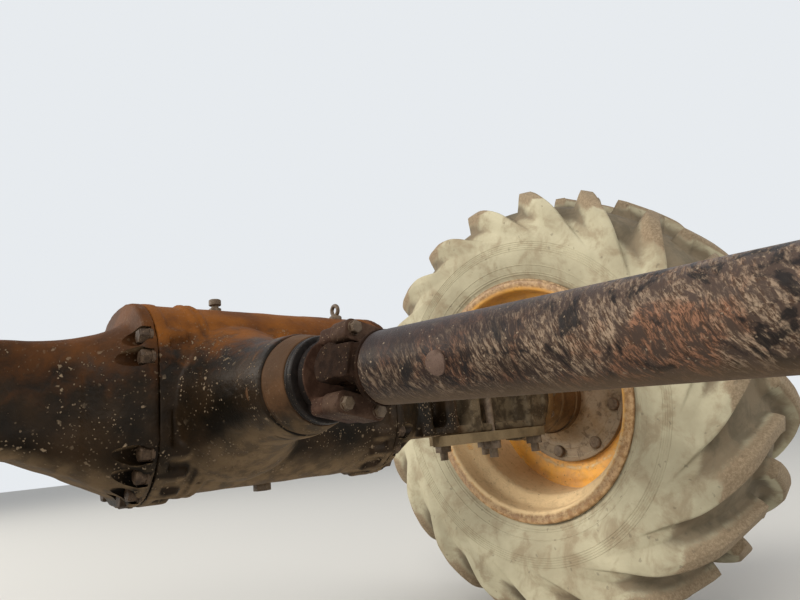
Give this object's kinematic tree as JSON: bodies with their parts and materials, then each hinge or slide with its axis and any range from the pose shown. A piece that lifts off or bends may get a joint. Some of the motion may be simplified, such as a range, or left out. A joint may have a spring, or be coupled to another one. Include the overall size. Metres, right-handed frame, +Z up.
{
  "type": "dumper drive axle with wheels",
  "caption": "Rigid drive axle of a site dumper with planetary hubs, two lugged off-road wheels and a propeller shaft on two universal joints.",
  "frame": {"origin": "centre of the frame seat: the plane of the two pads on the axle arms, midway between them and straight above the wheel axis", "axes": "+X from the axle towards the far end of the propeller shaft, +Y along the axle towards the left wheel, +Z up"},
  "size_m": [2.2242, 2.521, 1.1772],
  "materials": {
    "housing_casting": "dusty orange-brown paint over dark grease",
    "nose_casting": "dusty orange-brown paint, dark below",
    "arm_casting": "dark oily paint with dried mud",
    "brake_casting": "dusty brown paint",
    "hub_casting": "dusty brown paint",
    "black_seal": "black, oily",
    "bolt_steel": "dull plated steel, partly rusty",
    "rusty_steel": "rust-brown forged steel",
    "shaft_paint": "worn black paint with rust streaks",
    "spline_steel": "greased bare steel",
    "rim_paint": "orange-yellow paint, dusty",
    "tyre_rubber": "dusty olive-grey rubber"
  },
  "bodies": {
    "axle": {"differential_housing": "housing_casting", "pinion_carrier": "nose_casting", "pinion_seal": "black_seal", "drain_plug": "bolt_steel", "axle_arm_left": "arm_casting", "clamp_bars_left": "arm_casting", "seat_studs_left": "bolt_steel", "brake_housing_left": "brake_casting", "axle_arm_right": "arm_casting", "clamp_bars_right": "arm_casting", "seat_studs_right": "bolt_steel", "brake_housing_right": "brake_casting"},
    "pinion": {"pinion_flange": "rusty_steel", "bearing_blocks": "rusty_steel"},
    "axle_end_cross": {"cross_axle_end": "rusty_steel"},
    "shaft": {"shaft_yoke": "rusty_steel", "shaft_tube": "shaft_paint", "balance_weight": "shaft_paint", "splined_stub": "spline_steel"},
    "slip": {"slip_yoke": "shaft_paint", "dust_cap": "spline_steel"},
    "drive_end_cross": {"cross_drive_end": "rusty_steel"},
    "drive_end": {"drive_flange": "rusty_steel"},
    "wheel_left": {"wheel_hub_left": "hub_casting", "hub_reduction_left": "hub_casting", "wheel_studs_left": "bolt_steel", "rim_left": "rim_paint", "tyre_left": "tyre_rubber"},
    "wheel_right": {"wheel_hub_right": "hub_casting", "hub_reduction_right": "hub_casting", "wheel_studs_right": "bolt_steel", "rim_right": "rim_paint", "tyre_right": "tyre_rubber"}
  },
  "joints": [
    {"name": "wheel_left_spin", "type": "hinge", "parent": "axle", "child": "wheel_left", "pos_m": [0, 1.058, -0.13], "axis": [0, 1, 0], "continuous": true},
    {"name": "wheel_right_spin", "type": "hinge", "parent": "axle", "child": "wheel_right", "pos_m": [0, -1.058, -0.13], "axis": [0, 1, 0], "continuous": true},
    {"name": "pinion_spin", "type": "hinge", "parent": "axle", "child": "pinion", "pos_m": [0.3, 0, -0.12], "axis": [1, 0, 0], "continuous": true},
    {"name": "axle_end_yaw", "type": "hinge", "parent": "pinion", "child": "axle_end_cross", "pos_m": [0.424, 0, -0.12], "axis": [0, 0.225, 0.9744], "range_deg": [-15, 15]},
    {"name": "axle_end_pitch", "type": "hinge", "parent": "axle_end_cross", "child": "shaft", "pos_m": [0.424, 0, -0.12], "axis": [-0.0145, 0.9743, -0.2249], "range_deg": [-15, 15]},
    {"name": "slip", "type": "slide", "parent": "shaft", "child": "slip", "axis": [0.9979, 0, -0.0645], "range_m": [-0.03, 0.03]},
    {"name": "drive_end_pitch", "type": "hinge", "parent": "slip", "child": "drive_end_cross", "pos_m": [1.5716, 0, -0.19421], "axis": [-0.0145, 0.9743, -0.2249], "range_deg": [-15, 15]},
    {"name": "drive_end_yaw", "type": "hinge", "parent": "drive_end_cross", "child": "drive_end", "pos_m": [1.5716, 0, -0.19421], "axis": [0, 0.225, 0.9744], "range_deg": [-15, 15]}
  ]
}
